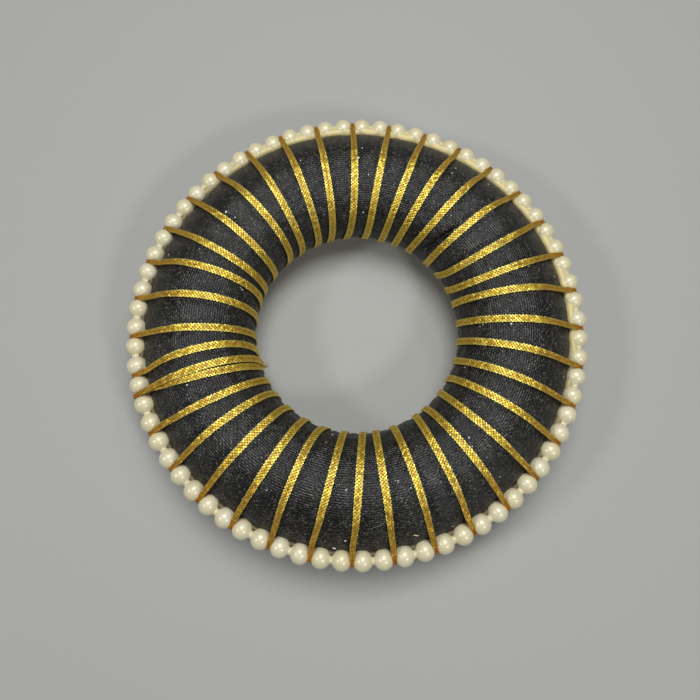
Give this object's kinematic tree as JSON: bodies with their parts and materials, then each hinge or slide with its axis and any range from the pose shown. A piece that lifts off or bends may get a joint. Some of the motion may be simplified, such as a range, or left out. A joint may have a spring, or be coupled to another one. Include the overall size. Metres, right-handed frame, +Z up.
{
  "type": "bun ring",
  "caption": "Padded black cloth ring for a hair bun, spirally wound with a flat gold braid, with a string of cream pearl beads round its outer edge.",
  "frame": {"origin": "centre of the ring on the surface that it lies on, at the bottom of its bounding box", "axes": "+Z up through the hole, from the back to the front; +Y towards the top of the picture"},
  "size_m": [0.1207, 0.1208, 0.0264],
  "materials": {
    "cloth": "fine plain weave with a soft sheen",
    "braid": "flat metallic-thread braid, ribbed and shiny",
    "pearl": "pearlescent coating, glossy",
    "thread": "twisted thread, matt"
  },
  "bodies": {
    "root": {"padded_ring": "cloth", "gold_braid": "braid", "pearl_string": "pearl", "pearl_thread": "thread"}
  },
  "joints": []
}
